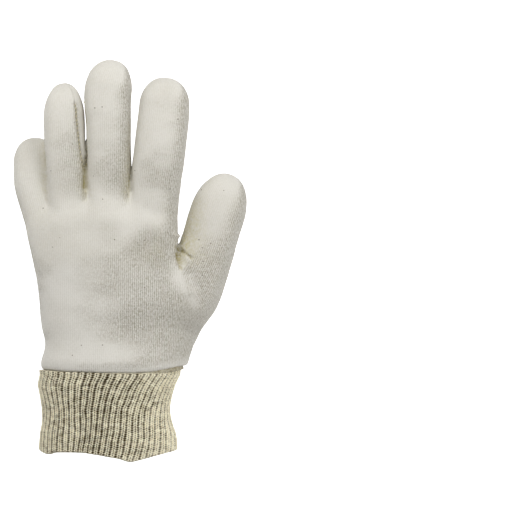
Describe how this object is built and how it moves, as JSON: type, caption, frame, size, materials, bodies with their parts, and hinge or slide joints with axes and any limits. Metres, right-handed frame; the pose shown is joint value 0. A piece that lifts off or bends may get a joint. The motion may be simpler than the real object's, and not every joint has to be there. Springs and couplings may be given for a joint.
{
  "type": "cotton work glove",
  "caption": "Left-hand knitted cotton work glove with a ribbed knit cuff, in the filled shape it has when worn; it covers a hand and wrist.",
  "frame": {"origin": "middle of the cuff's mouth, where the wrist goes in", "axes": "+Z from the cuff towards the fingertips, +X towards the thumb, +Y out of the palm; the back of the hand faces -Y"},
  "size_m": [0.144, 0.0519, 0.2498],
  "materials": {
    "cotton_knit": "matt, softly brushed fine knit with small seed specks",
    "rib_knit": "matt rib knit of mixed beige and brown yarn"
  },
  "bodies": {
    "root": {"back_panel": "cotton_knit", "palm_panel": "cotton_knit", "knit_cuff": "rib_knit"}
  },
  "joints": []
}
